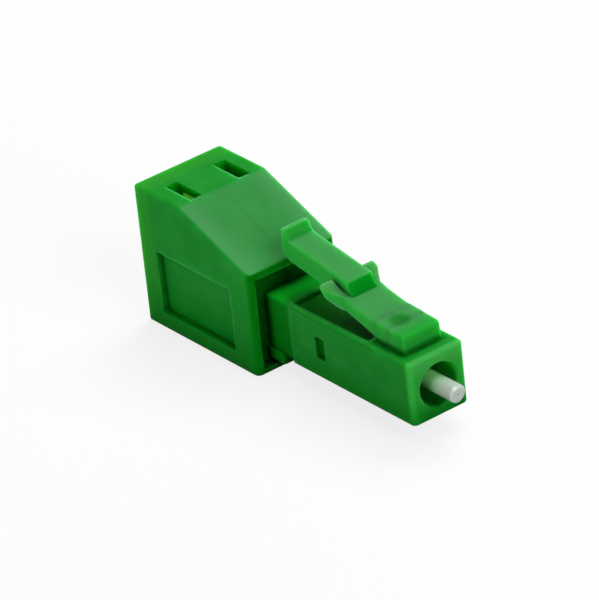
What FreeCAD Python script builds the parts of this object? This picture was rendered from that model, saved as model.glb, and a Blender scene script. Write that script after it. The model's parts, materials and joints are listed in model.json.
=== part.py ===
import FreeCAD, Part
import math
import os

from FreeCAD import Vector

# A plug-in fibre attenuator: a small plug with a latch in front, and a socket for the next plug behind.
# Millimetres. The origin is on the optical axis, at the plug's nose face. +X is out of the nose, +Z is up.

# Plug body
plug_width = 4.52
plug_length = 12.24
plug_edge_radius = 0.20
nose_corner_radius = 0.40
nose_bore_radius = 1.52
nose_bore_depth = 3.04
nose_bore_lead = 0.10
throat_radius = 0.96
throat_length = 0.50
chamber_radius = 1.62
neck_length = 2.20
neck_inset = 0.20
neck_top_fall = 0.105
neck_edge_radius = 0.25
flange_thickness = 0.35
flange_gap = 0.05
foot_reach = 1.05
foot_inner = 1.20
foot_bottom = 2.80
foot_top = 1.95
foot_edge_radius = 0.22
pocket_width = 3.96
pocket_depth = 0.30
pocket_from_shoulder = 0.16
pocket_from_hinge = 0.75
pocket_corner_radius = 0.25

# Windows in the plug's side walls, where the backstop snaps in
side_window_from_nose = 9.265
side_window_length = 0.95
side_window_height = 1.60
side_window_radius = 0.12

# Latch root, moulded on top of the plug
latch_width = 3.10
latch_front_from_nose = 1.34
latch_front_lean = 0.12
latch_front_height = 1.28
root_top_rise = 0.05
latch_knee_from_nose = 4.65
latch_knee_radius = 3.00
latch_top_rise = 0.185
latch_front_radius = 0.30
latch_edge_radius = 0.18
dimple_from_nose = 3.15
dimple_offset = -0.25
dimple_radius = 0.75
dimple_depth = 0.07

# Hinge of the latch: the lever's round end turns in the root
hinge_from_nose = 3.74
hinge_radius = 0.645
hinge_clearance = 0.03
hinge_land = 0.19
heel_length = 0.60

# Latch lever
underside_rise = 0.29
step_from_nose = 6.82
step_height = 1.00
step_lean = 0.47
step_radius = 0.14
tail_width = 2.10
tail_rise = 0.152
tail_thickness = 1.56
tail_gap = 0.52
tail_end_radius = 1.05
tail_edge_radius = 0.16
lip_height = 0.56
lip_length = 0.42
lip_lean = 0.42
lip_radius = 0.15
lug_width = 4.46
lug_shoulder_from_nose = 8.76
lug_ramp_from_nose = 6.28
lug_knee_from_nose = 7.80
lug_knee_height = 2.20
lug_top_height = 2.88
lug_bottom_height = 2.30
lug_bottom_rise = 0.85
lug_side_length = 0.50
lug_taper_length = 1.05
lug_tip_radius = 0.22
lug_gap_from_nose = 7.20
lug_gap_width = 0.33

# Shell
shell_width = 7.31
shell_length = 11.69
shell_top = 6.65
shell_front_top = 3.99
shell_bottom = 3.61
shell_roof = 0.85
slope_length = 6.84
shell_edge_radius = 0.24
shell_front_corner_radius = 0.45
front_opening_width = 6.20
front_opening_top = 3.42
front_opening_bottom = 3.12
front_opening_depth = 0.95
front_opening_radius = 0.85
panel_from_rear = 1.76
panel_length = 7.75
panel_bottom = 2.36
panel_top = 2.22
panel_depth = 0.50
panel_corner_radius = 0.15

# Socket in the shell for the next plug, and the windows that its latch springs into
socket_clearance = 0.05
socket_lead = 0.30
latch_channel_top = 4.45
tail_slot_width = 2.50
tail_slot_top = 5.80
latch_window_from_rear = 1.94
latch_window_length = 2.80
latch_window_inner = 1.50
latch_window_width = 1.00
latch_window_bottom = 4.10
latch_window_radius = 0.15

# Ferrule, fibre and split sleeve
ferrule_radius = 0.6245
ferrule_reach = 1.88
ferrule_chamfer = 0.11
ferrule_bore_radius = 0.0635
ferrule_face_angle = 8.0
ferrule_groove_depth = 0.03
ferrule_groove_length = 1.84
fibre_radius = 0.0625
sleeve_length = 6.80
sleeve_wall = 0.19
sleeve_clearance = 0.01
sleeve_slit = 0.35
sleeve_end_play = 0.04
sleeve_bore_clearance = 0.07

# Collar, spring, backstop and sleeve holder
collar_head_length = 1.06
collar_head_radius = 1.25
collar_across_flats = 2.24
collar_lead = 0.15
collar_skirt_length = 1.00
collar_skirt_radius = 0.80
spring_wire_radius = 0.11
spring_wire_sides = 6
spring_turns = 4.5
spring_clearance = 0.07
backstop_from_nose = 8.24
backstop_length = 4.70
backstop_bore_radius = 0.72
fit_clearance = 0.02
tab_play = 0.05
tab_recess = 0.24
tab_ramp = 0.30
holder_tube_radius = 1.40
holder_lip = 0.16
holder_lip_bore_radius = 0.70
holder_lead = 0.12

# Places that follow from the sizes above
across = Vector(0, 1, 0)
along = Vector(1, 0, 0)
plug_half = plug_width / 2
shoulder_x = -plug_length
shell_front_x = shoulder_x - neck_length
shell_rear_x = shell_front_x - shell_length
seat_x = shell_front_x - front_opening_depth
neck_half = plug_half - neck_inset
throat_x = -nose_bore_depth - throat_length
optical_plane_x = shell_rear_x + latch_window_from_rear + lug_shoulder_from_nose + ferrule_reach
sleeve_rear_x = optical_plane_x - sleeve_length / 2
sleeve_front_x = optical_plane_x + sleeve_length / 2
sleeve_radius = ferrule_radius + sleeve_clearance + sleeve_wall
sleeve_room_radius = sleeve_radius + sleeve_bore_clearance
collar_shoulder_x = throat_x - collar_head_length
backstop_front_x = -backstop_from_nose
backstop_rear_x = backstop_front_x - backstop_length
insert_radius = chamber_radius - fit_clearance


def in_side(a, b):
    return Vector(a, 0, b)


def in_plan(a, b):
    return Vector(a, b, 0)


def in_front(a, b):
    return Vector(0, a, b)


def rounded_corner(before, corner, after, radius):
    """Where a rounding of this radius starts, its middle and where it ends."""
    back = (before - corner).normalize()
    onward = (after - corner).normalize()
    half = back.getAngle(onward) / 2
    reach = radius / math.tan(half)
    inward = (back + onward).normalize()
    middle = corner + inward * (radius / math.sin(half) - radius)
    return corner + back * reach, middle, corner + onward * reach


def outline_edges(corners, place):
    """Lines and arcs round a closed outline, each corner given as (a, b) or (a, b, radius)."""
    points = [place(c[0], c[1]) for c in corners]
    turns = []
    for i, corner in enumerate(corners):
        if len(corner) == 2:
            turns.append((points[i], None, points[i]))
            continue
        following = points[(i + 1) % len(points)]
        turns.append(rounded_corner(points[i - 1], points[i], following, corner[2]))
    edges = []
    for i, (start, middle, end) in enumerate(turns):
        if middle is not None:
            edges.append(Part.Arc(start, middle, end).toShape())
        edges.append(Part.LineSegment(end, turns[(i + 1) % len(turns)][0]).toShape())
    return edges


def prism(corners, place, start, reach):
    """An outline moved to start, and carried on from there by reach."""
    wire = Part.Wire(outline_edges(corners, place))
    wire.translate(start)
    return Part.Face(wire).extrude(reach)


def side_prism(corners, half_width):
    return prism(corners, in_side, Vector(0, -half_width, 0), Vector(0, 2 * half_width, 0))


def rectangle(a0, a1, b0, b1, radius):
    return [(a0, b0, radius), (a1, b0, radius), (a1, b1, radius), (a0, b1, radius)]


def box(x0, x1, y0, y1, z0, z1):
    return Part.makeBox(x1 - x0, y1 - y0, z1 - z0, Vector(x0, y0, z0))


def rod(radius, x0, x1):
    return Part.makeCylinder(radius, x1 - x0, Vector(x0, 0, 0), along)


def turned(profile):
    """A profile of (x, radius) points, turned once round the optical axis."""
    points = [in_side(x, radius) for x, radius in profile]
    face = Part.Face(Part.makePolygon(points + points[:1]))
    return face.revolve(Vector(0, 0, 0), along, 360)


def edges_where(shape, wanted):
    """Edges picked by a test on their middle point and their direction."""
    found = []
    for edge in shape.Edges:
        if edge.Degenerated:
            continue
        halfway = (edge.FirstParameter + edge.LastParameter) / 2
        if wanted(edge.valueAt(halfway), edge.tangentAt(halfway)):
            found.append(edge)
    return found


def latch_top_z(x):
    """Height of the latch's top, which is nearly level over the root and climbs behind its knee."""
    root_run = min(-x, latch_knee_from_nose) - latch_front_from_nose
    climb_run = max(-x - latch_knee_from_nose, 0)
    return plug_half + latch_front_height + root_top_rise * root_run + latch_top_rise * climb_run


def hinge_axis():
    """The hinge's axis lies one hinge radius below the plate's top."""
    x = -hinge_from_nose
    return in_side(x, latch_top_z(x) - hinge_radius * math.hypot(1, root_top_rise))


def underside_z(x):
    """Height of the plate's underside, which just touches the hinge's round end."""
    axis = hinge_axis()
    return axis.z - hinge_radius * math.hypot(1, underside_rise) + underside_rise * (axis.x - x)


def tail_top_z(x):
    return latch_top_z(-step_from_nose) + step_height + tail_rise * (-step_from_nose - step_lean - x)


def meeting_x(height_a, height_b):
    """Where two straight side lines cross, each given as a height at x."""
    gap = height_a(0.0) - height_b(0.0)
    return -gap / (height_a(1.0) - height_b(1.0) - gap)


def whole_latch():
    """The latch as it is moulded: root, plate, step, tail with its lip, and a lug on each side."""
    front_x = -latch_front_from_nose
    knee_x = -latch_knee_from_nose
    foot_x = front_x + latch_front_lean
    step_x = -step_from_nose
    end_x = shell_front_x + tail_gap
    shoulder = -lug_shoulder_from_nose
    sunk_z = plug_half - pocket_depth / 2
    lip_z = tail_top_z(end_x) + lip_height
    lip_front_x = end_x + lip_length

    def tail_bottom_z(x):
        return tail_top_z(x) - tail_thickness

    def lug_bottom_z(x):
        return plug_half + lug_bottom_height - lug_bottom_rise * (x - shoulder)

    break_x = meeting_x(underside_z, tail_bottom_z)
    bend_x = meeting_x(underside_z, lug_bottom_z)
    apex_x = meeting_x(underside_z, lambda x: sunk_z)
    front = [
        (foot_x + latch_front_lean * (plug_half - sunk_z) / latch_front_height, sunk_z),
        (front_x, latch_top_z(front_x), latch_front_radius),
        (knee_x, latch_top_z(knee_x), latch_knee_radius),
    ]
    tail = side_prism(
        front
        + [
            (step_x, latch_top_z(step_x), step_radius),
            (step_x - step_lean, tail_top_z(step_x - step_lean), step_radius),
            (lip_front_x + lip_lean, tail_top_z(lip_front_x + lip_lean), lip_radius),
            (lip_front_x, lip_z, lip_radius),
            (end_x, lip_z, lip_radius),
            (end_x, tail_bottom_z(end_x), tail_end_radius),
            (break_x, tail_bottom_z(break_x), tail_end_radius),
            (apex_x, sunk_z),
        ],
        tail_width / 2,
    )
    tail_half = tail_width / 2
    rim = edges_where(
        tail, lambda p, run: abs(p.y) > tail_half - 0.001 and abs(run.y) < 0.5 and p.x < step_x
    )
    tail = tail.makeFillet(tail_edge_radius, rim)
    ramp_x = -lug_ramp_from_nose
    side = front + [
        (ramp_x, latch_top_z(ramp_x), tail_end_radius),
        (-lug_knee_from_nose, plug_half + lug_knee_height, tail_end_radius),
        (shoulder, plug_half + lug_top_height, lug_tip_radius),
        (shoulder, plug_half + lug_bottom_height, lug_tip_radius),
        (bend_x, underside_z(bend_x), tail_end_radius),
        (apex_x, sunk_z),
    ]
    half = latch_width / 2
    plate = side_prism(side, half)
    rim = edges_where(
        plate, lambda p, run: abs(p.y) > half - 0.001 and p.z > plug_half and abs(run.y) < 0.5
    )
    plate = plate.makeFillet(latch_edge_radius, rim)
    reach = lug_width / 2
    flank_x = shoulder + lug_side_length
    inner_x = flank_x + 2 * lug_taper_length
    inner_y = 2 * half - reach
    plan = prism(
        [
            (shoulder - 1, -reach - 1),
            (flank_x, -reach - 1),
            (flank_x, -reach),
            (inner_x, -inner_y),
            (inner_x, inner_y),
            (flank_x, reach),
            (flank_x, reach + 1),
            (shoulder - 1, reach + 1),
        ],
        in_plan,
        Vector(0, 0, 0),
        Vector(0, 0, shell_top),
    )
    lugs = side_prism(side, reach).common(plan)
    rim = edges_where(lugs, lambda p, run: abs(p.y) > reach - 0.001 and abs(run.y) < 0.5)
    lugs = lugs.makeFillet(latch_edge_radius, rim)
    gap_x = ramp_x + tail_end_radius / 2
    gap_floor = [(gap_x, latch_top_z(gap_x)), (shoulder - 1, latch_top_z(shoulder - 1))]
    gap_side = side_prism(gap_floor + [(shoulder - 1, shell_top), (gap_x, shell_top)], reach)
    rear_half = tail_half + lug_gap_width
    gap_plan = prism(
        [
            (shoulder - 1, -rear_half),
            (shoulder, -rear_half),
            (-lug_gap_from_nose, -tail_half),
            (-lug_gap_from_nose, tail_half),
            (shoulder, rear_half),
            (shoulder - 1, rear_half),
        ],
        in_plan,
        Vector(0, 0, 0),
        Vector(0, 0, shell_top),
    )
    gap = gap_side.common(gap_plan)
    dimple_ball = (dimple_radius**2 + dimple_depth**2) / (2 * dimple_depth)
    dimple_z = latch_top_z(-dimple_from_nose) - dimple_depth + dimple_ball
    dimple = Part.makeSphere(dimple_ball, Vector(-dimple_from_nose, dimple_offset, dimple_z))
    return plate.fuse(lugs).cut(gap).fuse(tail).removeSplitter().cut(dimple)


def hinge_cylinder(radius):
    start = hinge_axis() - across * latch_width
    return Part.makeCylinder(radius, 2 * latch_width, start, across)


def make_latch_lever():
    """All of the latch behind its hinge, with the round end that turns in the root."""
    axis = hinge_axis()
    far = -shell_front_x
    up = in_side(root_top_rise, 1).normalize()
    down = in_side(-underside_rise, -1).normalize()
    above = axis + up * shell_top
    below = axis + down * shell_top
    fan = [
        (axis.x, axis.z),
        (above.x, above.z),
        (-2 * far, above.z),
        (-2 * far, below.z),
        (below.x, below.z),
    ]
    behind = side_prism(fan, lug_width)
    return whole_latch().common(hinge_cylinder(hinge_radius).fuse(behind))


def latch_root():
    """What stays of the latch on the plug, hollowed for the lever's round end, with a low heel under it."""
    start_x = -hinge_from_nose + hinge_land
    ahead = box(start_x, 0, -latch_width, latch_width, 0, shell_top)
    heel_x = -hinge_from_nose - heel_length
    heel_z = hinge_axis().z - hinge_radius - hinge_clearance
    sunk_z = plug_half - pocket_depth / 2
    heel = box(heel_x, start_x + heel_length, -latch_width / 2, latch_width / 2, sunk_z, heel_z)
    return whole_latch().common(ahead).fuse(heel).cut(hinge_cylinder(hinge_radius + hinge_clearance))


def make_plug_body():
    """The square barrel with its latch root, and the neck, feet and flange that sit in the shell."""
    barrel = prism(
        [
            (shoulder_x, -plug_half),
            (0, -plug_half, nose_corner_radius),
            (0, plug_half, nose_corner_radius),
            (shoulder_x, plug_half),
        ],
        in_plan,
        Vector(0, 0, -plug_half),
        Vector(0, 0, 2 * plug_half),
    )
    rim = edges_where(barrel, lambda p, run: abs(run.z) < 0.5 and p.x > shoulder_x + 0.001)
    barrel = barrel.makeFillet(plug_edge_radius, rim)
    pocket_half = pocket_width / 2
    pocket_rear_x = shoulder_x + pocket_from_shoulder
    pocket_front_x = -hinge_from_nose - pocket_from_hinge
    pocket = prism(
        rectangle(pocket_rear_x, pocket_front_x, -pocket_half, pocket_half, pocket_corner_radius),
        in_plan,
        Vector(0, 0, plug_half - pocket_depth),
        Vector(0, 0, shell_top),
    )
    neck = side_prism(
        [
            (seat_x, -neck_half),
            (shoulder_x, -neck_half),
            (shoulder_x, plug_half),
            (seat_x, plug_half - neck_top_fall * (shoulder_x - seat_x)),
        ],
        neck_half,
    )
    rim = edges_where(neck, lambda p, run: abs(run.x) > 0.9 and p.z > 0)
    neck = neck.makeFillet(neck_edge_radius, rim)
    flange_half_y = front_opening_width / 2 - flange_gap
    flange_top = front_opening_top - flange_gap
    flange_bottom = front_opening_bottom - flange_gap
    flange = prism(
        rectangle(-flange_half_y, flange_half_y, -flange_bottom, flange_top, front_opening_radius),
        in_front,
        Vector(seat_x, 0, 0),
        Vector(flange_thickness, 0, 0),
    )
    body = barrel.fuse([neck, flange]).cut(pocket)
    for side in (-1, 1):
        y0, y1 = sorted((side * foot_inner, side * plug_half))
        start_x = seat_x + flange_thickness / 2
        foot = box(start_x, shell_front_x + foot_reach, y0, y1, -foot_bottom, -foot_top)
        rim = edges_where(
            foot, lambda p, run: abs(run.x) > 0.9 and p.z < -foot_top - 0.001 and abs(p.y) > foot_inner
        )
        body = body.fuse(foot.makeFillet(foot_edge_radius, rim))
    hollow = turned(
        [
            (1, 0),
            (1, nose_bore_radius + nose_bore_lead + 1),
            (-nose_bore_lead, nose_bore_radius),
            (-nose_bore_depth, nose_bore_radius),
            (-nose_bore_depth, throat_radius),
            (throat_x, throat_radius),
            (throat_x, chamber_radius),
            (seat_x - 1, chamber_radius),
            (seat_x - 1, 0),
        ]
    )
    window_x = -side_window_from_nose
    side_windows = prism(
        rectangle(
            window_x - side_window_length / 2,
            window_x + side_window_length / 2,
            -side_window_height / 2,
            side_window_height / 2,
            side_window_radius,
        ),
        in_side,
        Vector(0, -plug_width, 0),
        Vector(0, 2 * plug_width, 0),
    )
    return body.fuse(latch_root()).cut([hollow, side_windows]).removeSplitter()


def slope_z(x):
    """Height of the shell's sloping roof, from the front face back to the flat top."""
    return shell_front_top + (shell_top - shell_front_top) * (shell_front_x - x) / slope_length


def slope_x(z):
    return shell_front_x - (z - shell_front_top) * slope_length / (shell_top - shell_front_top)


def socket_cavity():
    """Room for the next plug: a well with a channel above it for the latch, and a slot for its tail."""
    half = plug_half + socket_clearance
    mouth_x = shell_rear_x - 1
    channel = side_prism(
        [
            (mouth_x, -half),
            (seat_x, -half),
            (seat_x, slope_z(seat_x) - shell_roof),
            (slope_x(latch_channel_top + shell_roof), latch_channel_top),
            (mouth_x, latch_channel_top),
        ],
        half,
    )
    slot = side_prism(
        [
            (mouth_x, 0),
            (slope_x(latch_channel_top + shell_roof), 0),
            (slope_x(latch_channel_top + shell_roof), latch_channel_top),
            (slope_x(tail_slot_top + shell_roof), tail_slot_top),
            (mouth_x, tail_slot_top),
        ],
        tail_slot_width / 2,
    )
    return channel.fuse(slot).removeSplitter()


def make_shell():
    """A wedge-topped block with the socket, two latch windows and a shallow panel in each side."""
    half = shell_width / 2
    side_view = side_prism(
        [
            (shell_rear_x, -shell_bottom),
            (shell_front_x, -shell_bottom),
            (shell_front_x, shell_front_top),
            (shell_front_x - slope_length, shell_top),
            (shell_rear_x, shell_top),
        ],
        half,
    )
    plan_view = prism(
        [
            (shell_rear_x, -half, shell_edge_radius),
            (shell_front_x, -half, shell_front_corner_radius),
            (shell_front_x, half, shell_front_corner_radius),
            (shell_rear_x, half, shell_edge_radius),
        ],
        in_plan,
        Vector(0, 0, -shell_bottom),
        Vector(0, 0, shell_bottom + shell_top),
    )
    block = side_view.common(plan_view)
    rim = edges_where(block, lambda p, run: abs(run.z) < 0.9)
    block = block.makeFillet(shell_edge_radius, rim)
    opening_half = front_opening_width / 2
    opening = prism(
        rectangle(
            -opening_half,
            opening_half,
            -front_opening_bottom,
            front_opening_top,
            front_opening_radius,
        ),
        in_front,
        Vector(seat_x, 0, 0),
        Vector(front_opening_depth + 1, 0, 0),
    )
    cuts = [opening, socket_cavity()]
    window_x = shell_rear_x + latch_window_from_rear
    panel_x = shell_rear_x + panel_from_rear
    for side in (-1, 1):
        inner = side * latch_window_inner
        outer = side * (latch_window_inner + latch_window_width)
        y0, y1 = sorted((inner, outer))
        cuts.append(
            prism(
                rectangle(window_x, window_x + latch_window_length, y0, y1, latch_window_radius),
                in_plan,
                Vector(0, 0, latch_window_bottom),
                Vector(0, 0, shell_top),
            )
        )
        cuts.append(
            prism(
                rectangle(panel_x, panel_x + panel_length, -panel_bottom, panel_top, panel_corner_radius),
                in_side,
                Vector(0, side * (shell_width / 2 - panel_depth), 0),
                Vector(0, side * shell_width, 0),
            )
        )
    shell = block.cut(cuts)
    half = plug_half + socket_clearance + 0.001
    top = tail_slot_top + 0.001
    mouth = edges_where(
        shell, lambda p, run: p.x < shell_rear_x + 0.001 and abs(p.y) < half and -half < p.z < top
    )
    return shell.makeChamfer(socket_lead, mouth)


def face_cut(x, away):
    """Block that trims an end to the angled face through x on the axis."""
    size = 6 * ferrule_radius
    block = Part.makeBox(size, size, size, Vector(min(away, 0) * size, -size / 2, -size / 2))
    block.rotate(Vector(0, 0, 0), across, ferrule_face_angle)
    block.translate(Vector(x, 0, 0))
    return block


def trimmed(blank):
    return blank.cut([face_cut(ferrule_reach, 1), face_cut(optical_plane_x, -1)])


def make_ferrule():
    """The white ceramic rod, bored for the fibre, with a shallow groove under the collar."""
    over = ferrule_radius * math.tan(math.radians(ferrule_face_angle))
    tip_x = ferrule_reach + over
    tail_x = optical_plane_x - over
    groove_x = throat_x - collar_head_length / 2
    end_radius = ferrule_radius - ferrule_chamfer - over
    blank = turned(
        [
            (tail_x, 0),
            (tail_x, end_radius),
            (optical_plane_x + ferrule_chamfer, ferrule_radius),
            (groove_x - ferrule_groove_length / 2, ferrule_radius),
            (groove_x, ferrule_radius - ferrule_groove_depth),
            (groove_x + ferrule_groove_length / 2, ferrule_radius),
            (ferrule_reach - ferrule_chamfer, ferrule_radius),
            (tip_x, end_radius),
            (tip_x, 0),
        ]
    )
    return trimmed(blank).cut(rod(ferrule_bore_radius, 2 * shell_rear_x, -shell_rear_x))


def make_fibre():
    """The doped glass fibre that takes up the light, as long as the ferrule."""
    return trimmed(rod(fibre_radius, optical_plane_x - 1, ferrule_reach + 1))


def make_collar():
    """The collar on the ferrule: a six-sided head that seats in the plug, and a skirt for the spring."""
    groove_x = throat_x - collar_head_length / 2
    skirt_x = collar_shoulder_x - collar_skirt_length
    collar = turned(
        [
            (skirt_x, ferrule_radius),
            (skirt_x, collar_skirt_radius),
            (collar_shoulder_x, collar_skirt_radius),
            (collar_shoulder_x, collar_head_radius),
            (throat_x - collar_lead, collar_head_radius),
            (throat_x, collar_head_radius - collar_lead),
            (throat_x, ferrule_radius),
            (groove_x + ferrule_groove_length / 2, ferrule_radius),
            (groove_x, ferrule_radius - ferrule_groove_depth),
            (groove_x - ferrule_groove_length / 2, ferrule_radius),
        ]
    )
    corner = collar_across_flats / math.sqrt(3)
    turns = [math.radians(60 * i) for i in range(6)]
    hexagon = [(corner * math.cos(turn), corner * math.sin(turn)) for turn in turns]
    head = prism(hexagon, in_front, Vector(collar_shoulder_x, 0, 0), Vector(collar_head_length, 0, 0))
    skirt = rod(collar_skirt_radius, skirt_x - 1, collar_shoulder_x)
    return collar.common(head.fuse(skirt))


def make_spring():
    """The coil spring between the backstop and the collar's shoulder, of six-sided wire."""
    mean_radius = collar_skirt_radius + spring_clearance + spring_wire_radius
    start_x = backstop_front_x + spring_wire_radius
    length = collar_shoulder_x - spring_wire_radius - start_x
    path = Part.Wire(Part.makeHelix(length / spring_turns, length, mean_radius))
    turns = [math.radians(360 * i / spring_wire_sides) for i in range(spring_wire_sides + 1)]
    section = []
    for turn in turns:
        aside = spring_wire_radius * math.sin(turn)
        section.append(in_side(mean_radius + aside, spring_wire_radius * math.cos(turn)))
    spring = path.makePipeShell([Part.makePolygon(section)], True, True)
    spring.rotate(Vector(0, 0, 0), across, 90)
    spring.translate(Vector(start_x, 0, 0))
    return spring


def make_backstop():
    """The insert that the spring pushes on, snapped into the side windows, with room for the sleeve."""
    room_x = sleeve_front_x + sleeve_end_play
    backstop = turned(
        [
            (backstop_rear_x, sleeve_room_radius),
            (backstop_rear_x, insert_radius),
            (backstop_front_x, insert_radius),
            (backstop_front_x, backstop_bore_radius),
            (room_x, backstop_bore_radius),
            (room_x, sleeve_room_radius),
        ]
    )
    window_x = -side_window_from_nose
    tab_front_x = window_x + side_window_length / 2 - tab_play
    tab_rear_x = window_x - side_window_length / 2 + tab_play
    tab_half_z = side_window_height / 2 - tab_play
    tab_out = plug_half - tab_recess
    tab_in = insert_radius - fit_clearance - tab_half_z / 2
    for side in (-1, 1):
        ramp = [
            (tab_rear_x, side * tab_in),
            (tab_front_x, side * tab_in),
            (tab_front_x, side * (tab_out - tab_ramp)),
            (tab_rear_x, side * tab_out),
        ]
        tab = prism(ramp, in_plan, Vector(0, 0, -tab_half_z), Vector(0, 0, 2 * tab_half_z))
        backstop = backstop.fuse(tab)
    return backstop


def make_sleeve_holder():
    """The insert in the neck, whose tube stands in the socket and keeps the split sleeve in line."""
    room_x = sleeve_rear_x - sleeve_end_play
    tube_x = room_x - holder_lip
    return turned(
        [
            (tube_x, holder_lip_bore_radius + holder_lead),
            (tube_x, holder_tube_radius - holder_lead),
            (tube_x + holder_lead, holder_tube_radius),
            (seat_x, holder_tube_radius),
            (seat_x, insert_radius),
            (backstop_rear_x, insert_radius),
            (backstop_rear_x, sleeve_room_radius),
            (room_x, sleeve_room_radius),
            (room_x, holder_lip_bore_radius),
            (tube_x + holder_lead, holder_lip_bore_radius),
        ]
    )


def make_split_sleeve():
    """The slit ceramic tube that lines up the two ferrules."""
    bore = rod(ferrule_radius + sleeve_clearance, sleeve_rear_x - 1, sleeve_front_x + 1)
    tube = rod(sleeve_radius, sleeve_rear_x, sleeve_front_x).cut(bore)
    half_slit = sleeve_slit / 2
    slit = box(sleeve_rear_x - 1, sleeve_front_x + 1, -half_slit, half_slit, 0, 2 * sleeve_radius)
    return tube.cut(slit)


def main():
    os.makedirs("parts", exist_ok=True)
    pieces = {
        "shell": make_shell(),
        "plug_body": make_plug_body(),
        "latch_lever": make_latch_lever(),
        "ferrule": make_ferrule(),
        "attenuating_fibre": make_fibre(),
        "ferrule_collar": make_collar(),
        "ferrule_spring": make_spring(),
        "backstop": make_backstop(),
        "sleeve_holder": make_sleeve_holder(),
        "split_sleeve": make_split_sleeve(),
    }
    for name, shape in pieces.items():
        solids = shape.Solids
        solid = solids[0] if len(solids) == 1 else Part.makeCompound(solids)
        print(name, "solids", len(solids), "valid", solid.isValid(), "volume", round(solid.Volume, 3))
        solid.exportStep("parts/" + name + ".step")


if __name__ == "__main__":
    main()
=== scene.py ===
import json
import math

import bmesh
import bpy
import numpy as np
from mathutils import Matrix, Vector


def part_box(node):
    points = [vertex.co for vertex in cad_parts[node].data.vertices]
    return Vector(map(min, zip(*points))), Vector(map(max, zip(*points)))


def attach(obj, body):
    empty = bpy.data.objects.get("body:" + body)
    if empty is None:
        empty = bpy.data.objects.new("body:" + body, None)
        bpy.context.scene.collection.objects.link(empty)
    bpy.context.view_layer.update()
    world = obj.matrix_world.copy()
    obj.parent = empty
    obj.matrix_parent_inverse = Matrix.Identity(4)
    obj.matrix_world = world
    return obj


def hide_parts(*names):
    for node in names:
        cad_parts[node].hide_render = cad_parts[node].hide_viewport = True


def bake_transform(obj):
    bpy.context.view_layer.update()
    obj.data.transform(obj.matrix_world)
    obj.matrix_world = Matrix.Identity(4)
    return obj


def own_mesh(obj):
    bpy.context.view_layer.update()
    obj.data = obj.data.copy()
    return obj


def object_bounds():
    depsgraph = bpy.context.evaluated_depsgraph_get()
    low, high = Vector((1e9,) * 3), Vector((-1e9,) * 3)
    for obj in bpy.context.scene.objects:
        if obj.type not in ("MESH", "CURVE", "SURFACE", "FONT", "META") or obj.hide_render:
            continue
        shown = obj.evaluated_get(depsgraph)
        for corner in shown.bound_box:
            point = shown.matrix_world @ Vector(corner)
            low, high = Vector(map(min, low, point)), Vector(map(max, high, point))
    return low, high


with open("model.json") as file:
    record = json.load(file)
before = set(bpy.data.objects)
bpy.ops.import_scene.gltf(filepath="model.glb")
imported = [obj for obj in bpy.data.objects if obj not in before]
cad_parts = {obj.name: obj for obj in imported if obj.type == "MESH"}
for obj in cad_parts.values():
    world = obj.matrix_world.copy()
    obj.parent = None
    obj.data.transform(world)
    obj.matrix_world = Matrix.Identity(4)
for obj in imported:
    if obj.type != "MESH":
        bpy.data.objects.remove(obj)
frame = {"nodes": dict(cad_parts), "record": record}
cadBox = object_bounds()
mm = 0.001
print("frame loaded with", len(frame["nodes"]), "nodes")


# shader maths

class Value:
    # one output of a node; sums, differences and products of values add Math nodes
    def __init__(self, paint, socket):
        self.paint = paint
        self.socket = socket

    def calc(self, operation, first, second):
        return self.paint.node("Math", {"operation": operation}, {0: first, 1: second})

    def __add__(self, other):
        return self.calc("ADD", self, other)

    def __radd__(self, other):
        return self.calc("ADD", other, self)

    def __sub__(self, other):
        return self.calc("SUBTRACT", self, other)

    def __rsub__(self, other):
        return self.calc("SUBTRACT", other, self)

    def __mul__(self, other):
        return self.calc("MULTIPLY", self, other)

    def __rmul__(self, other):
        return self.calc("MULTIPLY", other, self)

    def __abs__(self):
        return self.calc("ABSOLUTE", self, 0.0)


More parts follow.
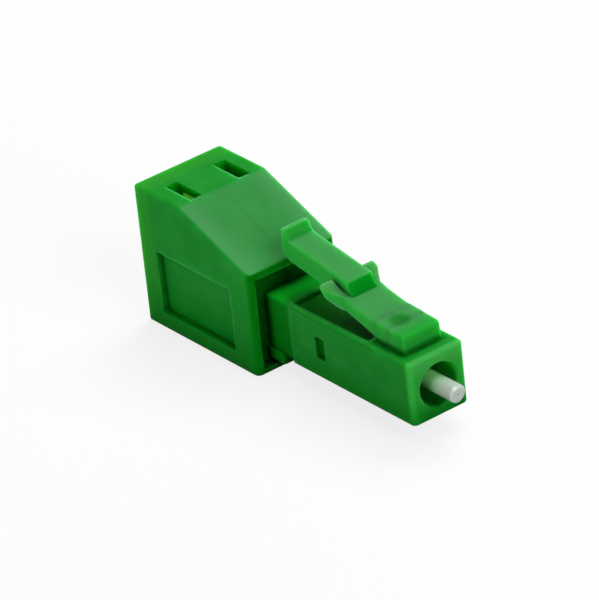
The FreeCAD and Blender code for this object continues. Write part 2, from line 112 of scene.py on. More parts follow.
class Paint:
    # the node tree of one material or world; node() makes any node, sets it up, then fills its sockets
    def __init__(self, owner):
        owner.use_nodes = True
        self.owner = owner
        self.tree = owner.node_tree
        self.tree.nodes.clear()

    def node(self, kind, settings=None, sockets=None, output=0):
        made = self.tree.nodes.new("ShaderNode" + kind)
        for name, value in (settings or {}).items():
            setattr(made, name, value)
        for name, value in (sockets or {}).items():
            if isinstance(value, Value):
                self.tree.links.new(made.inputs[name], value.socket)
            else:
                made.inputs[name].default_value = value
        return Value(self, made.outputs[output])

    def place(self):
        # the point being shaded, in millimetres, as a vector and as x, y and z
        here = self.node("TexCoord", output="Object")
        scaled = self.node("VectorMath", {"operation": "SCALE"}, {0: here, "Scale": 1 / mm})
        parts = [self.node("SeparateXYZ", None, {0: scaled}, axis) for axis in range(3)]
        return scaled, parts

    def rise(self, value, low, high):
        # 0 below low, 1 above high, with a soft start and end
        ends = {"Value": value, "From Min": low, "From Max": high}
        return self.node("MapRange", {"interpolation_type": "SMOOTHSTEP"}, ends)

    def band(self, value, low, high, soft):
        # 1 between low and high, falling to 0 over soft on each side
        return self.rise(value, low - soft, low) * (1 - self.rise(value, high, high + soft))

    def noise(self, where, scale, detail=2.0, stretch=(1, 1, 1)):
        turned = self.node("Mapping", None, {"Vector": where, "Scale": stretch})
        return self.node("TexNoise", None, {"Vector": turned, "Scale": scale, "Detail": detail})

    def hollow(self, reach):
        # 1 in the open, falling towards 0 where other faces stand within reach
        return self.node("AmbientOcclusion", {"samples": 8}, {"Distance": reach}, "AO")

    def thickness(self, reach):
        # 1 where the wall is thicker than reach, falling towards 0 in thin parts
        settings = {"samples": 8, "inside": True, "only_local": True}
        return self.node("AmbientOcclusion", settings, {"Distance": reach}, "AO")

    def facing(self):
        # how far the surface looks along x, y and z
        outward = self.node("TexCoord", output="Normal")
        return [self.node("SeparateXYZ", None, {0: outward}, axis) for axis in range(3)]

    def blend(self, mask, first, second):
        return self.node("Mix", {"data_type": "RGBA"}, {0: mask, 6: first, 7: second}, 2)

    def mask(self, measures, layer):
        # how much of a layer shows: its share, times a step for each measure it has to be above or below,
        # times a band for each it lies between; grow steps from a least share to a most
        shown = layer.get("share", 1.0)
        for name, ends in layer.get("above", {}).items():
            shown = self.rise(measures[name], *ends) * shown
        for name, ends in layer.get("below", {}).items():
            shown = (1 - self.rise(measures[name], *ends)) * shown
        for name, ends in layer.get("between", {}).items():
            shown = self.band(measures[name], *ends) * shown
        for name, (low, high, least, most) in layer.get("grow", {}).items():
            shown = (least + (most - least) * self.rise(measures[name], low, high)) * shown
        return shown

    def bumps(self, height, depth, normal=None):
        # depth in metres is what a height of 1 stands for
        sockets = {"Height": height, "Distance": depth, "Strength": 1.0}
        if normal is not None:
            sockets["Normal"] = normal
        return self.node("Bump", None, sockets)

    def finish(self, surface, kind="Material"):
        out = self.tree.nodes.new("ShaderNodeOutput" + kind)
        self.tree.links.new(out.inputs["Surface"], surface.socket)
        return self.owner


def linear(red, green, blue):
    # a screen colour of 0 to 255 as the light values that a shader takes
    shares = [c / 255 for c in (red, green, blue)]
    return tuple(s / 12.92 if s < 0.04045 else ((s + 0.055) / 1.055) ** 2.4 for s in shares) + (1.0,)


# green moulded plastic

greenLook = {
    "colour": linear(27, 136, 42),
    "paler": linear(34, 141, 50),
    "deeper": linear(20, 129, 35),
    "clouds": {"scale": 0.45, "detail": 3.0},
    "cloudSpan": (0.35, 0.70),
    "flow": {"scale": 1.1, "stretch": (0.35, 1, 1)},
    "flowSpan": (0.48, 0.78),
    "flowShare": 0.6,
    # painted shade: shade is the dark green that crevices, hollows and places under other parts are painted
    # towards
    "shade": linear(0, 52, 0),
    "shadeReach": 1.2 * mm,
    "shadeSpan": (-0.15, 0.85),
    # painted highlight: the pale colour that is painted along thin edges
    "rim": linear(74, 160, 80),
    "edgeHighlightReach": 0.30 * mm,
    "edgeHighlightSpan": (0.45, 0.95),
    "edgeHighlightShare": 0.05,
    "roughness": 0.40,
    "cloudRoughness": 0.10,
    "grainRoughness": 0.06,
    "peel": {"scale": 1.6},
    "peelDepth": 0.004 * mm,
    "grain": {"scale": 14.0},
    "grainDepth": 0.0012 * mm,
    "edgeRadius": 0.05 * mm,
    "edgeSamples": 6,
    "index": 1.52,
    "specular": 0.010,
    "glowShare": 0.85,
    "glowReach": (0.35, 1.0, 0.45),
    "glowScale": 2.6 * mm,
}


def greenPlastic(name, look, measure=None, layers=None, line=None, glow=None):
    # layers are tints, painted over each other in their order, most of them painted light and shade; line is
    # a fine groove; glow is painted light, a pale patch that also emits, where light comes through a thin
    # wall
    paint = Paint(bpy.data.materials.new(name))
    where, (x, y, z) = paint.place()
    measures = {"x": x, "y": y, "z": z, "aside": abs(y)}
    if measure:
        measures.update(measure(paint, measures))
    clouds = paint.noise(where, **look["clouds"])
    flow = paint.noise(where, **look["flow"])
    colour = paint.blend(paint.rise(clouds, *look["cloudSpan"]), look["deeper"], look["colour"])
    colour = paint.blend(paint.rise(flow, *look["flowSpan"]) * look["flowShare"], colour, look["paler"])
    for layer in (layers or {}).values():
        colour = paint.blend(paint.mask(measures, layer), colour, layer["tint"])
    # painted highlight: thin edges are painted towards the pale edge colour
    edges = 1 - paint.rise(paint.thickness(look["edgeHighlightReach"]), *look["edgeHighlightSpan"])
    colour = paint.blend(edges * look["edgeHighlightShare"], colour, look["rim"])
    # painted shade: where other faces, the floor too, stand close, the colour is darkened towards the painted
    # shade colour
    openness = paint.rise(paint.hollow(look["shadeReach"]), *look["shadeSpan"])
    colour = paint.blend(openness, look["shade"], colour)
    peel = paint.noise(where, **look["peel"])
    grain = paint.noise(where, **look["grain"])
    unevenness = (clouds - 0.5) * look["cloudRoughness"] + (grain - 0.5) * look["grainRoughness"]
    edge = paint.node("Bevel", {"samples": look["edgeSamples"]}, {"Radius": look["edgeRadius"]})
    normal = paint.bumps(peel, look["peelDepth"], edge)
    normal = paint.bumps(grain, look["grainDepth"], normal)
    if line:
        normal = paint.bumps(1 - paint.mask(measures, line), line["depth"], normal)
    sockets = {
        "Base Color": colour,
        "Roughness": look["roughness"] + unevenness,
        "Normal": normal,
        "IOR": look["index"],
        "Specular IOR Level": look["specular"],
        "Subsurface Weight": look["glowShare"],
        "Subsurface Radius": look["glowReach"],
        "Subsurface Scale": look["glowScale"],
    }
    # painted light: the glow patch is painted pale and also emits light
    if glow:
        mask = paint.mask(measures, glow)
        sockets["Base Color"] = paint.blend(mask, colour, glow["tint"])
        sockets["Emission Color"] = paint.blend(mask, (0, 0, 0, 1), glow["tint"])
        sockets["Emission Strength"] = glow["strength"]
    return paint.finish(paint.node("BsdfPrincipled", None, sockets))


# painted light and shade on the shell: its front face is painted a deeper green as shade, its lower sides and
# front opening are painted in shade, its slope has a painted pale sheen towards its long edges, its rear edge
# a painted highlight and its window walls painted light; limits are in millimetres

shellLook = {
    "roofFrontX": -14.44,
    "roofFrontZ": 3.99,
    "roofClimb": 0.3889,
    "slopeLine": {
        "depth": 0.02 * mm,
        "above": {"z": (4.2, 4.4)},
        "between": {"y": (-0.13, -0.11, 0.05), "x": (-19.8, -17.0, 0.25)},
    },
    # painted light: a pale patch on the near window's inner wall that also emits, standing in for light that
    # comes through the thin wall
    "windowGlow": {
        "tint": linear(94, 177, 54),
        "strength": 0.35,
        "between": {"y": (-1.56, -1.44, 0.05), "x": (-23.5, -21.3, 0.15), "z": (4.3, 5.97, 0.12)},
    },
    "layers": {
        # painted shade: the shell's front face is painted a deeper green
        "shadedFront": {
            "tint": linear(4, 108, 12),
            "above": {"x": (-14.92, -14.52)},
        },
        # painted sheen: the slope is painted paler towards its long edges, where it reflects the lamps
        "slopeSheen": {
            "tint": linear(69, 139, 82),
            "above": {"overSlope": (-0.10, -0.02), "x": (-21.4, -21.0)},
            "grow": {"aside": (1.6, 3.5, 0.45, 0.95)},
        },
        # painted highlight: the shell's rear edge is painted paler
        "rearEdgeHighlight": {
            "tint": linear(40, 140, 34),
            "share": 0.7,
            "below": {"x": (-24.9, -24.4)},
        },
        # painted shade: the shell's lower sides are painted darker, where less light reaches them from above
        "shadedLowerPart": {
            "tint": linear(2, 124, 20),
            "share": 0.85,
            "below": {"z": (-3.6, 1.5)},
        },
        # painted shade: the inside of the front opening is painted dark
        "shadedOpening": {
            "tint": linear(0, 52, 0),
            "above": {"x": (-15.6, -15.4)},
            "below": {"aside": (3.08, 3.14)},
            "between": {"z": (-3.1, 3.4, 0.04)},
        },
        # painted light: the window walls are painted brighter, lifting them out of the painted crevice shade
        "litWindowWalls": {
            "tint": linear(0, 150, 8),
            "between": {"aside": (1.48, 2.52, 0.03), "x": (-24.22, -21.36, 0.03), "z": (5.75, 6.50, 0.12)},
        },
    },
}


def shellMeasures(paint, at):
    # the height over the plane of the sloping roof
    pastFront = at["x"] - shellLook["roofFrontX"]
    return {"overSlope": at["z"] - shellLook["roofFrontZ"] + shellLook["roofClimb"] * pastFront}


# painted light and shade: the latch is painted paler, most of all where its wall is thin, with painted
# highlights, and painted darker in the sink mark over its root;
# on the plug the nose is painted lighter, the pocket under the latch, the neck and the lower part are painted
# in shade, and a fine seam runs below the top edge

overPlug = (2.28, 2.75)
noseEnd = (-0.60, -0.20)
neckFront = (-12.9, -12.4)
neckRoof = (2.15, 2.28)
plugLook = {
    "thinReach": 0.7 * mm,
    "dimple": (-3.15, -0.25),
    "layers": {
        # painted light: the whole latch is painted paler, for the light that its thin plastic lets through
        "latch": {
            "tint": linear(58, 141, 70),
            "above": {"z": overPlug},
        },
        # painted light: the sides of the latch are painted lighter
        "litLatchSides": {
            "tint": linear(42, 156, 56),
            "above": {"z": overPlug, "sideways": (0.5, 0.9)},
        },
        # painted highlight: the thin lip, lug tips and edges of the latch are painted paler
        "thinLatchHighlight": {
            "tint": linear(86, 136, 82),
            "share": 0.7,
            "above": {"z": overPlug, "upwards": (-0.1, 0.5)},
            "below": {"wall": (0.10, 0.55), "x": (-5.4, -4.4)},
        },
        # painted shade: faces of the latch that look forwards are painted less pale than the rest of it
        "latchFrontShade": {
            "tint": linear(24, 138, 38),
            "share": 0.8,
            "above": {"z": overPlug, "forwards": (0.4, 0.8)},
        },
        # painted light: the latch's root is painted less pale than the rest of the latch
        "latchRoot": {
            "tint": linear(30, 141, 44),
            "above": {"z": overPlug, "x": (-2.7, -1.6)},
        },
        # painted shade: the dip of the sink mark over the latch's root is painted darker
        "sinkMarkShade": {
            "tint": linear(0, 112, 16),
            "share": 0.75,
            "above": {"z": (3.3, 3.45)},
            "below": {"fromDimple": (0.05, 0.9025)},
        },
        # painted shade: the step face on the latch is painted a deeper green
        "step": {
            "tint": linear(0, 132, 24),
            "below": {"aside": (1.0, 1.08)},
            "between": {"x": (-7.22, -6.80, 0.04), "z": (4.15, 5.0, 0.08)},
        },
        # painted light: the nose is painted lighter
        "litNose": {
            "tint": linear(40, 143, 50),
            "above": {"x": noseEnd, "z": (-2.0, 0.2)},
            "below": {"z": overPlug},
        },
        # painted light: the top of the nose is painted lighter still
        "litNoseTop": {
            "tint": linear(58, 147, 66),
            "above": {"x": noseEnd, "z": (0.9, 2.1)},
            "below": {"z": overPlug},
        },
        # painted highlight: the nose's side edges are painted lighter
        "noseEdgeHighlight": {
            "tint": linear(50, 160, 60),
            "share": 0.8,
            "above": {"x": noseEnd, "aside": (1.85, 2.15)},
            "below": {"z": overPlug},
        },
        # painted shade: the plug's lower part is painted darker, where less light reaches it from above
        "shadedLowerPart": {
            "tint": linear(0, 124, 14),
            "share": 0.7,
            "below": {"z": (-2.3, -0.2)},
        },
        # painted shade: the plug's top beside the latch's foot is painted darker
        "shadeBesideLatch": {
            "tint": linear(0, 100, 8),
            "share": 0.7,
            "below": {"aside": (1.62, 2.02)},
            "between": {"z": (2.12, 2.50, 0.22), "x": (-12.2, -1.15, 0.25)},
        },
        # painted shade: the pocket under the latch is painted dark
        "pocketShade": {
            "tint": linear(0, 112, 6),
            "share": 0.85,
            "below": {"aside": (1.98, 2.02)},
            "between": {"z": (1.85, 2.10, 0.06), "x": (-12.2, -4.3, 0.1)},
        },
        # painted shade: the neck is painted darker
        "neckShade": {
            "tint": linear(0, 112, 10),
            "share": 0.8,
            "below": {"x": neckFront, "z": neckRoof},
        },
        # painted light: the top of the neck is painted lighter than the rest of the neck
        "litNeckTop": {
            "tint": linear(6, 150, 28),
            "share": 0.8,
            "above": {"z": (1.5, 2.0)},
            "below": {"x": neckFront, "z": neckRoof},
        },
        # painted shade: the plug is painted dark where it lies inside the shell
        "shadeInShell": {
            "tint": linear(0, 74, 0),
            "share": 0.9,
            "below": {"x": (-14.9, -14.5)},
        },
        # painted light: the upper wall of the nose's hole is painted a bright green, where light comes in and
        # is thrown back by the ferrule
        "litNoseHole": {
            "tint": linear(0, 186, 10),
            "above": {"x": (-3.0, -1.0), "z": (-0.3, 0.9)},
            "below": {"fromAxis": (2.33, 2.43), "x": (-0.12, -0.05)},
        },
        # painted shade: the inside of the side window is painted a deeper green
        "sideWindowShade": {
            "tint": linear(0, 128, 6),
            "below": {"aside": (2.20, 2.24)},
            "between": {"x": (-9.72, -8.81, 0.02), "z": (-0.78, 0.78, 0.02)},
        },
        "seam": {
            "tint": linear(0, 92, 8),
            "share": 0.55,
            "above": {"aside": (2.2, 2.24)},
            "between": {"z": (2.01, 2.05, 0.04), "x": (-11.8, -4.5, 1.2)},
        },
    },
}


def plugMeasures(paint, at):
    # the wall's thickness, the squares of the distances from the dimple and from the optical axis,
    # and how far the surface looks forwards, sideways and upwards
    forwards, sideways, upwards = paint.facing()
    dimpleX = at["x"] - plugLook["dimple"][0]
    dimpleY = at["y"] - plugLook["dimple"][1]
    return {
        "wall": paint.thickness(plugLook["thinReach"]),
        "fromDimple": dimpleX * dimpleX + dimpleY * dimpleY,
        "fromAxis": at["y"] * at["y"] + at["z"] * at["z"],
        "forwards": forwards,
        "sideways": abs(sideways),
        "upwards": upwards,
    }


innerLook = {
    "colour": linear(0, 128, 14),
    "paler": linear(4, 134, 18),
    "deeper": linear(0, 120, 10),
    "edgeHighlightShare": 0.0,
    "roughness": 0.42,
}
materials = {
    "shell_plastic": greenPlastic(
        "shellPlastic",
        greenLook,
        shellMeasures,
        shellLook["layers"],
        shellLook["slopeLine"],
        shellLook["windowGlow"],
    ),
    "green_plastic": greenPlastic(
        "plugPlastic",
        greenLook,
        plugMeasures,
        plugLook["layers"],
    ),
    "inner_plastic": greenPlastic("innerPlastic", {**greenLook, **innerLook}),
}
print("green plastics made")


# ceramic, glass and metal of the inner pieces

ceramicLook = {
    "colour": linear(174, 184, 175),
    "shade": linear(163, 175, 164),
    "clouds": {"scale": 1.2},
    # painted reflection: towards the hole the ceramic is painted green, for the green light the plastic
    # throws onto it
    "greenReflection": linear(126, 208, 120),
    "holeSpan": (-0.9, 1.3),
    "roughness": 0.34,
    "ringRoughness": 0.08,
    "rings": {"scale": 6.0, "stretch": (6, 0.4, 0.4)},
    "ringDepth": 0.0003 * mm,
    "index": 1.9,
    "glowShare": 0.15,
    "glowReach": (1.0, 0.9, 0.8),
    "glowScale": 0.3 * mm,
}


def groundCeramic(name, look):
    # fine grinding rings run round the rod, and towards the hole it is painted green, a painted reflection of
    # the plastic
    paint = Paint(bpy.data.materials.new(name))
    where, places = paint.place()
    clouds = paint.noise(where, **look["clouds"])
    rings = paint.noise(where, **look["rings"])
    colour = paint.blend(clouds, look["shade"], look["colour"])
    sockets = {
        "Base Color": paint.blend(paint.rise(places[0], *look["holeSpan"]), look["greenReflection"], colour),
        "Roughness": look["roughness"] + (rings - 0.5) * look["ringRoughness"],
        "Normal": paint.bumps(rings, look["ringDepth"]),
        "IOR": look["index"],
        "Subsurface Weight": look["glowShare"],
        "Subsurface Radius": look["glowReach"],
        "Subsurface Scale": look["glowScale"],
    }
    return paint.finish(paint.node("BsdfPrincipled", None, sockets))


collarLook = {
    "colour": linear(205, 203, 196),
    "shade": linear(186, 184, 178),
    "clouds": {"scale": 1.5},
    "roughness": 0.24,
    "lines": {"scale": 5.0, "stretch": (5, 0.5, 0.5)},
    "lineRoughness": 0.15,
    "lineDepth": 0.0008 * mm,
}
steelLook = {
    "colour": linear(190, 191, 193),
    "shade": linear(160, 162, 166),
    "roughness": 0.30,
    "lines": {"scale": 5.0},
}


def turnedMetal(name, look):
    paint = Paint(bpy.data.materials.new(name))
    where = paint.place()[0]
    clouds = paint.noise(where, **look["clouds"])
    lines = paint.noise(where, **look["lines"])
    sockets = {
        "Base Color": paint.blend(clouds, look["shade"], look["colour"]),
        "Metallic": 1.0,
        "Roughness": look["roughness"] + (lines - 0.5) * look["lineRoughness"],
        "Normal": paint.bumps(lines, look["lineDepth"]),
    }
    return paint.finish(paint.node("BsdfPrincipled", None, sockets))


fibreLook = {
    "colour": linear(150, 156, 150),
    "shade": linear(120, 128, 126),
    "smudges": {"scale": 9.0},
    "roughness": 0.08,
    "smudgeRoughness": 0.1,
    "index": 1.46,
    "coat": 0.5,
}


def fibreGlass(name, look):
    paint = Paint(bpy.data.materials.new(name))
    smudges = paint.noise(paint.place()[0], **look["smudges"])
    sockets = {
        "Base Color": paint.blend(smudges, look["shade"], look["colour"]),
        "Roughness": look["roughness"] + smudges * look["smudgeRoughness"],
        "IOR": look["index"],
        "Coat Weight": look["coat"],
    }
    return paint.finish(paint.node("BsdfPrincipled", None, sockets))


materials["white_ceramic"] = groundCeramic("ferruleCeramic", ceramicLook)
materials["sleeve_ceramic"] = groundCeramic("sleeveCeramic", {**ceramicLook, "roughness": 0.36})
materials["plated_metal"] = turnedMetal("collarMetal", collarLook)
materials["spring_steel"] = turnedMetal("springSteel", {**collarLook, **steelLook})
materials["fibre_glass"] = fibreGlass("fibreGlass", fibreLook)
print("inner materials made")


# pieces

record = frame["record"]
slotOf = {part["node"]: part["material_slot"] for part in record["subparts"]}
bodyOf = {node: body for body, held in record["behaviour"]["bodies"].items() for node in held}


def dress(piece, node):
    piece.data.materials.clear()
    piece.data.materials.append(materials[slotOf[node]])
    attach(piece, bodyOf[node])
    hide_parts(node)
    return piece


facets = {"mergeWithin": 0.0004 * mm, "sharpFrom": math.radians(32)}


def softened(node, name, look):
    # a merged copy of a CAD node, with smooth rounds and true flats
    piece = bpy.data.objects.new(name, frame["nodes"][node].data.copy())
    bpy.context.scene.collection.objects.link(piece)
    work = bmesh.new()
    work.from_mesh(piece.data)
    bmesh.ops.remove_doubles(work, verts=work.verts, dist=look["mergeWithin"])
    for face in work.faces:
        face.smooth = True
    for edge in work.edges:
        edge.smooth = len(edge.link_faces) == 2 and edge.calc_face_angle() < look["sharpFrom"]
    work.to_mesh(piece.data)
    work.free()
    weights = piece.modifiers.new("flats", "WEIGHTED_NORMAL")
    weights.keep_sharp = True
    weights.mode = "FACE_AREA_WITH_ANGLE"
    return dress(piece, node)


softPieces = {
    "shell": "rearShell",
    "plug_body": "plugBody",
    "latch_lever": "latchLever",
    "ferrule": "ferruleRod",
    "attenuating_fibre": "fibreCore",
    "ferrule_collar": "ferruleCollar",
    "backstop": "springBackstop",
    "sleeve_holder": "sleeveHolder",
    "split_sleeve": "splitSleeve",
}
for node, name in softPieces.items():
    softened(node, name, facets)
print("softened pieces:", len(softPieces))


spring = {
    "turns": 4.5,
    "deadTurns": 0.75,
    "easedShare": 0.35,
    "evenShare": 0.14,
    "wireRadius": 0.11 * mm,
    "around": 14,
    "along": 150,
    "travel": 0.6 * mm,
}


def coilSpring(look):
    # a ring carried along a helix: the angle grows evenly, and the pitch is smaller over the end turns
    low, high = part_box("ferrule_spring")
    wire = look["wireRadius"]
    reach = (high[1] - low[1]) / 2 - wire
    share = np.linspace(0, 1, look["along"])
    dead = look["deadTurns"] / look["turns"]
    climb = np.clip((share - dead / 2) / (1 - dead), 0, 1)
    eased = climb * climb * (3 - 2 * climb)
    climb = eased * look["easedShare"] + climb * (1 - look["easedShare"])
    climb = climb * (1 - look["evenShare"]) + share * look["evenShare"]
    turn = share * look["turns"] * 2 * math.pi
    middle = np.stack([
        low[0] + wire + climb * (high[0] - low[0] - 2 * wire),
        reach * np.cos(turn),
        reach * np.sin(turn),
    ], 1)
    outward = np.stack([np.zeros_like(turn), np.cos(turn), np.sin(turn)], 1)
    forward = np.gradient(middle, axis=0)
    forward /= np.linalg.norm(forward, axis=1)[:, None]
    upward = np.cross(forward, outward)
    ring = np.linspace(0, 2 * math.pi, look["around"], endpoint=False)
    aside = np.cos(ring)[None, :, None] * outward[:, None] + np.sin(ring)[None, :, None] * upward[:, None]
    return closedTube("coilSpring", middle[:, None] + wire * aside, middle[0], middle[-1])


def closedTube(name, points, start, end):
    # points[i, j] is ring i, point j; each end is closed by a fan to its own middle
    along, around = points.shape[:2]
    index = np.arange(along * around).reshape(along, around)
    onward = np.roll(index, -1, axis=1)
    sides = np.stack([index[:-1], onward[:-1], onward[1:], index[1:]], -1).reshape(-1, 4)
    firstTip = np.full(around, along * around)
    startCap = np.stack([firstTip, onward[0], index[0]], -1)
    endCap = np.stack([firstTip + 1, index[-1], onward[-1]], -1)
    mesh = bpy.data.meshes.new(name)
    places = np.vstack([points.reshape(-1, 3), start, end])
    mesh.from_pydata(places.tolist(), [], sides.tolist() + startCap.tolist() + endCap.tolist())
    mesh.polygons.foreach_set("use_smooth", np.ones(len(mesh.polygons), bool))
    work = bmesh.new()
    work.from_mesh(mesh)
    bmesh.ops.recalc_face_normals(work, faces=work.faces)
    work.to_mesh(mesh)
    work.free()
    piece = bpy.data.objects.new(name, mesh)
    bpy.context.scene.collection.objects.link(piece)
    return piece


coil = dress(coilSpring(spring), "ferrule_spring")
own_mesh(coil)
print("coil spring made")


# places and sizes of the skin are in millimetres

latchSkinLook = {
    "fromX": -2.80,
    "toX": -4.34,
    "halfWidth": 1.55,
    "edgeRadius": 0.18,
    "frontX": -1.34,
    "frontZ": 3.54,
    "rise": 0.05,
    "hingeX": -3.74,
    "footZ": 2.31,
    "undersideRise": 0.29,
    "dimple": {"x": -3.15, "y": -0.25, "radius": 0.75, "depth": 0.07},
    "proud": 0.022,
    "sunk": 0.03,
    "along": 72,
    "sideRows": 24,
    "cornerRows": 8,
    "topRows": 96,
    "footRows": 32,
    "footLift": 0.06,
    "endShare": 0.20,
    "footShare": 0.02,
}


def latchSkin(look):
    # the latch's outline at each x: up one side, over a quarter round and the top, down the other side and
    # back along the foot; the top dips by a ball's cap at the dimple, and the rim sinks under the plastic
    x = np.linspace(look["fromX"], look["toX"], look["along"])[:, None]
    top = look["frontZ"] + look["rise"] * (look["frontX"] - x)
    foot = look["footZ"] + look["undersideRise"] * np.clip(look["hingeX"] - x, 0, None)
    half, radius = look["halfWidth"], look["edgeRadius"]
    climb = np.linspace(0, 1, look["sideRows"])[None, :]
    turn = np.linspace(0, math.pi / 2, look["cornerRows"])[None, 1:-1]
    sideY = np.full((1, look["sideRows"]), -half)
    sideZ = foot + (top - radius - foot) * climb
    cornerY = -half + radius - radius * np.cos(turn)
    cornerZ = top - radius + radius * np.sin(turn)
    topY = np.linspace(-half + radius, half - radius, look["topRows"])[None, :]
    dimple = look["dimple"]
    ball = (dimple["radius"] ** 2 + dimple["depth"] ** 2) / (2 * dimple["depth"])
    apart = (x - dimple["x"]) ** 2 + (topY - dimple["y"]) ** 2
    cap = np.sqrt(np.clip(ball ** 2 - apart, 0, None)) - (ball - dimple["depth"])
    topZ = top - np.clip(cap, 0, None)
    footY = np.linspace(half, -half, look["footRows"])[None, 1:-1]
    still = footY * 0
    y = np.hstack([sideY, cornerY, topY, -cornerY[:, ::-1], -sideY, footY]) + 0 * x
    z = np.hstack([sideZ, cornerZ, topZ, cornerZ[:, ::-1], sideZ[:, ::-1], foot + look["footLift"] + still])
    outY = np.hstack([sideY * 0 - 1, -np.cos(turn), topY * 0, np.cos(turn), sideY * 0 + 1, still])
    outZ = np.hstack([sideY * 0, np.sin(turn), topY * 0 + 1, np.sin(turn), sideY * 0, still])
    u = np.linspace(0, 1, look["along"])[:, None]
    v = np.linspace(0, 1, y.shape[1] - footY.size)[None, :]
    v = np.hstack([v, still])
    rim = np.minimum(np.minimum(u, 1 - u) / look["endShare"], np.minimum(v, 1 - v) / look["footShare"])
    lift = look["proud"] - (look["proud"] + look["sunk"]) * (1 - np.clip(rim, 0, 1)) ** 2
    under = np.stack([x + 0 * y, y, z], -1)
    points = under + np.stack([0 * y, outY * lift, outZ * lift], -1)
    facing = np.cross(np.gradient(under, axis=1), np.gradient(under, axis=0))
    facing /= np.linalg.norm(facing, axis=2)[..., None]
    skin = closedTube("latchSkin", points * mm, points[0].mean(0) * mm, points[-1].mean(0) * mm)
    normals = np.vstack([facing.reshape(-1, 3), (1, 0, 0), (-1, 0, 0)])
    skin.data.normals_split_custom_set_from_vertices(normals.tolist())
    skin.data.materials.append(materials[slotOf["latch_lever"]])
    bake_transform(skin)


latchSkin(latchSkinLook)
print("skin over the latch's bend made")


# floor, light and camera; the floor's radius is in metres, what its material measures in millimetres

floorLook = {
    "radius": 0.8,
    "corners": 96,
    "below": 0.002 * mm,
    "pale": (0.82, 0.82, 0.82, 1),
    "near": (0.02, 0.02, 0.02, 1),
    "far": (0.90, 0.90, 0.90, 1),
    "nearReach": 3,
    "farReach": 9,
    "shift": (13, 0, 0),
    "halfSize": (13, 3, 100),
    "seenWhite": 0.80,
}


def seenDirectly(paint):
    # 1 for what the camera sees, straight, in a reflection or through glass, and 0 for what lights things
    kinds = ("Is Camera Ray", "Is Glossy Ray", "Is Transmission Ray")
    camera, glossy, through = (paint.node("LightPath", output=kind) for kind in kinds)
    return paint.node("Clamp", None, {"Value": camera + glossy + through})


def whiteFloor(look):
    # white with a soft shadow where it is seen, and grey in what it throws back, darkest beside the object;
    # the steps give how far a point lies outside a box round the object
    paint = Paint(bpy.data.materials.new("studioFloor"))
    seen = seenDirectly(paint)
    aside = paint.place()[0]
    steps = [
        ("ADD", look["shift"]),
        ("ABSOLUTE", (0, 0, 0)),
        ("SUBTRACT", look["halfSize"]),
        ("MAXIMUM", (0, 0, 0)),
    ]
    for operation, amount in steps:
        aside = paint.node("VectorMath", {"operation": operation}, {0: aside, 1: amount})
    away = paint.node("VectorMath", {"operation": "LENGTH"}, {0: aside}, "Value")
    thrown = paint.blend(paint.rise(away, look["nearReach"], look["farReach"]), look["near"], look["far"])
    shaded = paint.node("BsdfDiffuse", None, {"Color": paint.blend(seen, thrown, look["pale"])})
    white = paint.node("Emission", None, {"Color": (1, 1, 1, 1), "Strength": 1.0})
    mixed = paint.node("MixShader", None, {0: seen * look["seenWhite"], 1: shaded, 2: white})
    mesh = bpy.data.meshes.new("studioFloor")
    turn = np.linspace(0, 2 * math.pi, look["corners"], endpoint=False)
    bottom = np.full(look["corners"], cadBox[0][2] - look["below"])
    rim = np.stack([look["radius"] * np.cos(turn), look["radius"] * np.sin(turn), bottom], 1)
    mesh.from_pydata(rim.tolist(), [], [list(range(look["corners"]))])
    floor = bpy.data.objects.new("studioFloor", mesh)
    bpy.context.scene.collection.objects.link(floor)
    mesh.materials.append(paint.finish(mixed))


def whiteSky():
    # white where it is seen or reflected; it throws no light on the object
    world = bpy.data.worlds.new("studioSky")
    bpy.context.scene.world = world
    paint = Paint(world)
    sockets = {"Color": (1, 1, 1, 1), "Strength": seenDirectly(paint)}
    paint.finish(paint.node("Background", None, sockets), "World")


whiteFloor(floorLook)
whiteSky()

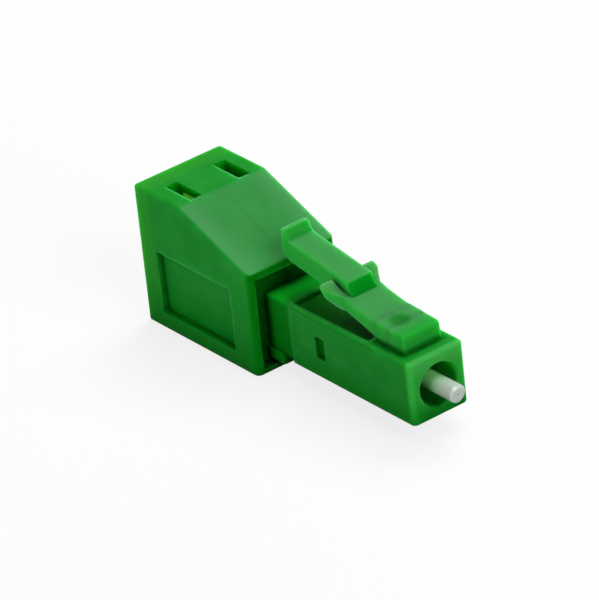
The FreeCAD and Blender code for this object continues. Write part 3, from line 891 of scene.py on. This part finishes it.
lamps = [
    {"name": "backLamp", "from": (-0.064, 0.163, 0.266), "watts": 0.76},
    {"name": "topLamp", "from": (0, 0, 0.32), "watts": 0.18},
    {"name": "noseLamp", "from": (0.256, 0, 0.192), "watts": 0.60},
    {"name": "lowNoseLamp", "from": (0.318, 0, 0.032), "watts": 0.12},
    {"name": "sideLamp", "from": (0, -0.318, 0.032), "watts": 0.54},
    {"name": "rearLamp", "from": (-0.256, 0.19, 0.0), "watts": 0.60, "inGloss": False},
]
lampSize = 0.18
aim = Vector((-0.013, 0, 0))
for lamp in lamps:
    data = bpy.data.lights.new(lamp["name"], "AREA")
    data.size = lampSize
    data.energy = lamp["watts"]
    holder = bpy.data.objects.new(lamp["name"], data)
    holder.location = lamp["from"]
    holder.visible_glossy = lamp.get("inGloss", True)
    holder.rotation_euler = (aim - Vector(lamp["from"])).to_track_quat("-Z", "Y").to_euler()
    bpy.context.scene.collection.objects.link(holder)

photo = {"width": 599, "height": 600, "pixelsPerMm": 15.38, "originX": 296.9, "originY": 309.6}
shot = {
    "azimuth": 54.13,
    "elevation": 28.94,
    "roll": -6.22,
    "distance": 0.4,
    "aboutX": -14.44 * mm,
    "nearest": 0.01,
    "farthest": 10,
}


def photoCamera(photo, shot):
    # the camera stands so that the point (aboutX, 0, 0) shows at originX, originY in the photograph
    azimuth, elevation, roll = (math.radians(shot[name]) for name in ("azimuth", "elevation", "roll"))
    back = Vector((
        math.sin(azimuth) * math.cos(elevation),
        -math.cos(azimuth) * math.cos(elevation),
        math.sin(elevation),
    ))
    level = Vector((math.cos(azimuth), math.sin(azimuth), 0))
    upright = back.cross(level)
    right = level * math.cos(roll) + upright * math.sin(roll)
    up = upright * math.cos(roll) - level * math.sin(roll)
    perPixel = mm / photo["pixelsPerMm"]
    asideX = (photo["originX"] - photo["width"] / 2) * perPixel
    asideY = -(photo["originY"] - photo["height"] / 2) * perPixel
    place = Vector((shot["aboutX"], 0, 0)) - right * asideX - up * asideY + back * shot["distance"]
    data = bpy.data.cameras.new("photoCamera")
    data.lens = shot["distance"] / perPixel * data.sensor_width / max(photo["width"], photo["height"])
    data.clip_start = shot["nearest"]
    data.clip_end = shot["farthest"]
    camera = bpy.data.objects.new("photoCamera", data)
    camera.matrix_world = Matrix.Translation(place) @ Matrix((right, up, back)).transposed().to_4x4()
    bpy.context.scene.collection.objects.link(camera)
    bpy.context.scene.camera = camera


photoCamera(photo, shot)
bpy.context.scene.view_settings.view_transform = "Standard"
print("floor, lamps and camera placed")
